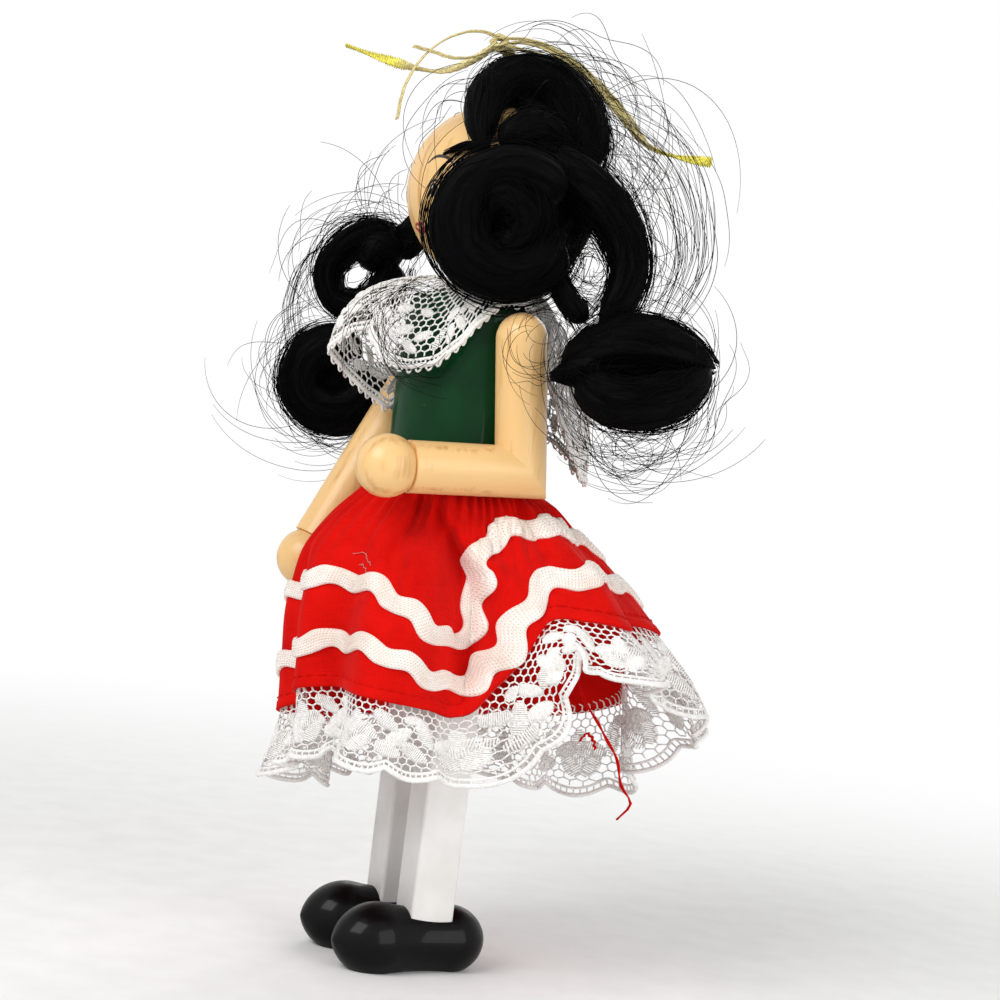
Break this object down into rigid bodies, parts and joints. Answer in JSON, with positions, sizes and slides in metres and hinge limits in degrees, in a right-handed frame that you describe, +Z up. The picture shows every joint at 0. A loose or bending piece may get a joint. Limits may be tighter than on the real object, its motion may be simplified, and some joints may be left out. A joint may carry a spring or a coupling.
{
  "type": "clothespin doll",
  "caption": "Standing wooden doll on slotted clothespin legs, with jointed dowel arms, a gathered red skirt, lace collar and black curled hair.",
  "frame": {"origin": "the floor midway between the two soles, under the axis of the torso", "axes": "+Z up; -Y is the way the doll faces; +X is its left side"},
  "size_m": [0.0693, 0.0586, 0.1314],
  "materials": {
    "natural_wood": "clear satin varnish",
    "green_paint": "gloss enamel paint on wood",
    "white_paint": "satin white paint on wood",
    "black_gloss": "black gloss enamel on wood",
    "red_cotton": "plain woven cotton",
    "white_braid": "knitted ricrac braid",
    "white_lace": "machine-made net lace",
    "elastic": "woven elastic",
    "hair": "glossy black synthetic fibre",
    "gold_braid": "metallised braid"
  },
  "bodies": {
    "doll": {"head_ball": "natural_wood", "neck_dowel": "natural_wood", "torso_barrel": "green_paint", "clothespin": "white_paint", "left_shoe": "black_gloss", "right_shoe": "black_gloss", "left_shoulder_pin": "natural_wood", "right_shoulder_pin": "natural_wood", "skirt": "red_cotton", "waist_elastic": "elastic", "lower_ricrac": "white_braid", "upper_ricrac": "white_braid", "hem_lace": "white_lace", "lace_collar": "white_lace", "hair_cap": "hair", "hair_top_curl": "hair", "left_hair_roll": "hair", "left_ringlet": "hair", "left_lower_curl": "hair", "right_hair_root": "hair", "right_upper_curl": "hair", "right_lower_curl": "hair", "left_loose_hair": "hair", "right_loose_hair": "hair", "gold_cord_left": "gold_braid", "gold_cord_right": "gold_braid", "cord_knot": "gold_braid"},
    "left_arm": {"left_upper_arm": "natural_wood", "left_forearm": "natural_wood", "left_hand": "natural_wood"},
    "right_arm": {"right_arm": "natural_wood", "right_hand": "natural_wood"}
  },
  "joints": [
    {"name": "left_shoulder", "type": "hinge", "parent": "doll", "child": "left_arm", "pos_m": [0.0145, 0, 0.0873], "axis": [-1, 0, 0], "range_deg": [-6, 75]},
    {"name": "right_shoulder", "type": "hinge", "parent": "doll", "child": "right_arm", "pos_m": [-0.0145, 0, 0.0873], "axis": [-1, 0, 0], "range_deg": [0, 95]}
  ]
}
